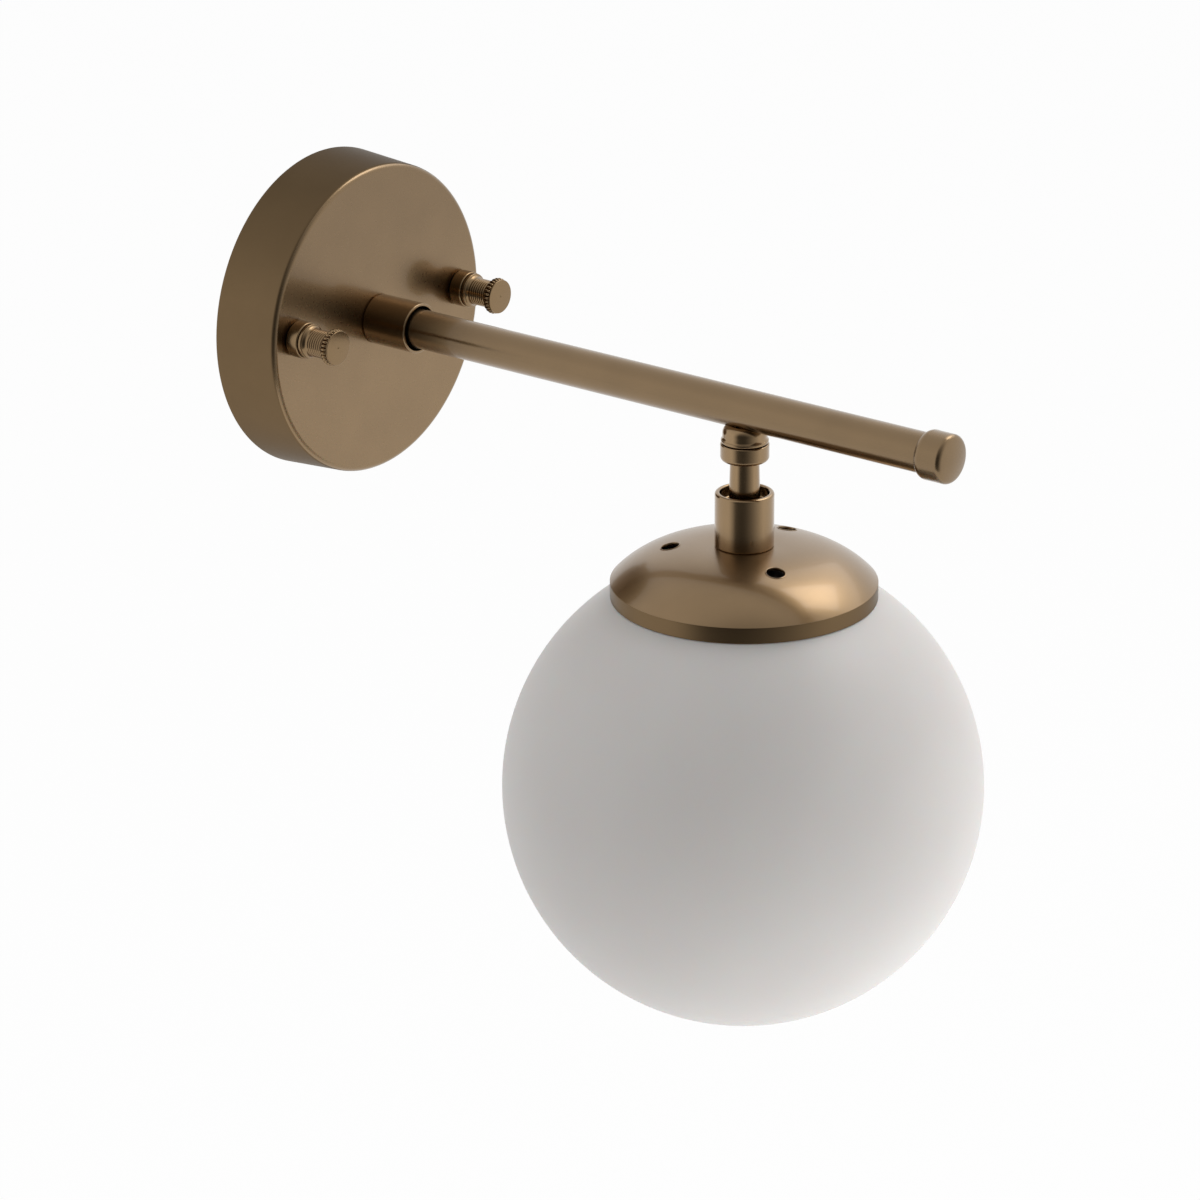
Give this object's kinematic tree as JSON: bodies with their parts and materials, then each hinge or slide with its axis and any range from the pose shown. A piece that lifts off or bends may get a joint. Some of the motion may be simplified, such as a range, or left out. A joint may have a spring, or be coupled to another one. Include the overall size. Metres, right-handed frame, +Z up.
{
  "type": "globe wall sconce",
  "caption": "Wall light with a round pan, a straight arm with an end cap, and a swivel under the arm that carries a spun cap with an opal glass globe.",
  "frame": {"origin": "centre of the round pan's open back, on the wall's surface", "axes": "+Y points into the wall, the arm runs along -Y, +Z is up and +X is to the right of someone facing the wall"},
  "size_m": [0.1524, 0.2511, 0.2542],
  "materials": {
    "antique_brass": "satin antique brass lacquer",
    "plain_brass": "plain turned brass",
    "zinc_steel": "bright zinc plate",
    "green_steel": "green lacquer on steel",
    "spring_steel": "bare spring steel",
    "porcelain": "white glaze",
    "opal_glass": "matt white opal",
    "frosted_glass": "frosted white",
    "nickel_base": "nickel plate",
    "black_glass": "black insulating glass",
    "solder": "soft solder"
  },
  "bodies": {
    "wall_arm": {"crossbar": "zinc_steel", "stud_left": "zinc_steel", "stud_right": "zinc_steel", "stud_locknuts": "zinc_steel", "ground_screw": "green_steel", "backplate": "antique_brass", "arm_collar": "antique_brass", "arm_tube": "antique_brass", "arm_nipple": "zinc_steel", "arm_washer": "zinc_steel", "arm_locknut": "zinc_steel", "arm_end_cap": "antique_brass", "swivel_saddle": "antique_brass", "swivel_washer": "antique_brass"},
    "nut_left": {"thumb_nut_left": "antique_brass"},
    "nut_right": {"thumb_nut_right": "antique_brass"},
    "stem": {"swivel_stem": "antique_brass", "swivel_ring": "antique_brass", "stem_clip": "spring_steel"},
    "shade": {"swivel_cup": "antique_brass", "cup_bushing": "plain_brass", "shade_cap": "antique_brass", "cap_washer": "zinc_steel", "cap_locknut": "zinc_steel", "clip_plate": "zinc_steel", "globe_clips": "spring_steel", "clip_rivets": "plain_brass", "holder_top": "porcelain", "holder_body": "porcelain", "holder_shell": "plain_brass", "holder_contact": "plain_brass"},
    "globe": {"globe": "opal_glass"},
    "bulb": {"bulb_base": "nickel_base", "bulb_insulator": "black_glass", "bulb_contact": "solder", "bulb_glass": "frosted_glass"}
  },
  "joints": [
    {"name": "nut_left_turn", "type": "hinge", "parent": "wall_arm", "child": "nut_left", "pos_m": [-0.04028, -0.0305, 0.00377], "axis": [0, -1, 0], "continuous": true},
    {"name": "nut_right_turn", "type": "hinge", "parent": "wall_arm", "child": "nut_right", "pos_m": [0.04045, -0.0305, 0.00063], "axis": [0, -1, 0], "continuous": true},
    {"name": "stem_turn", "type": "hinge", "parent": "wall_arm", "child": "stem", "pos_m": [0, -0.1722, -0.0108], "axis": [0, 0, 1], "range_deg": [-165, 165]},
    {"name": "shade_tilt", "type": "hinge", "parent": "stem", "child": "shade", "pos_m": [0, -0.1722, -0.0356], "axis": [1, 0, 0], "range_deg": [-10, 10]},
    {"name": "globe_slide", "type": "slide", "parent": "shade", "child": "globe", "axis": [0, 0, -1], "range_m": [0, 0.11], "deforming": ["globe_clips"]},
    {"name": "bulb_turn", "type": "hinge", "parent": "shade", "child": "bulb", "pos_m": [0, -0.1722, -0.08], "axis": [0, 0, 1], "continuous": true}
  ]
}
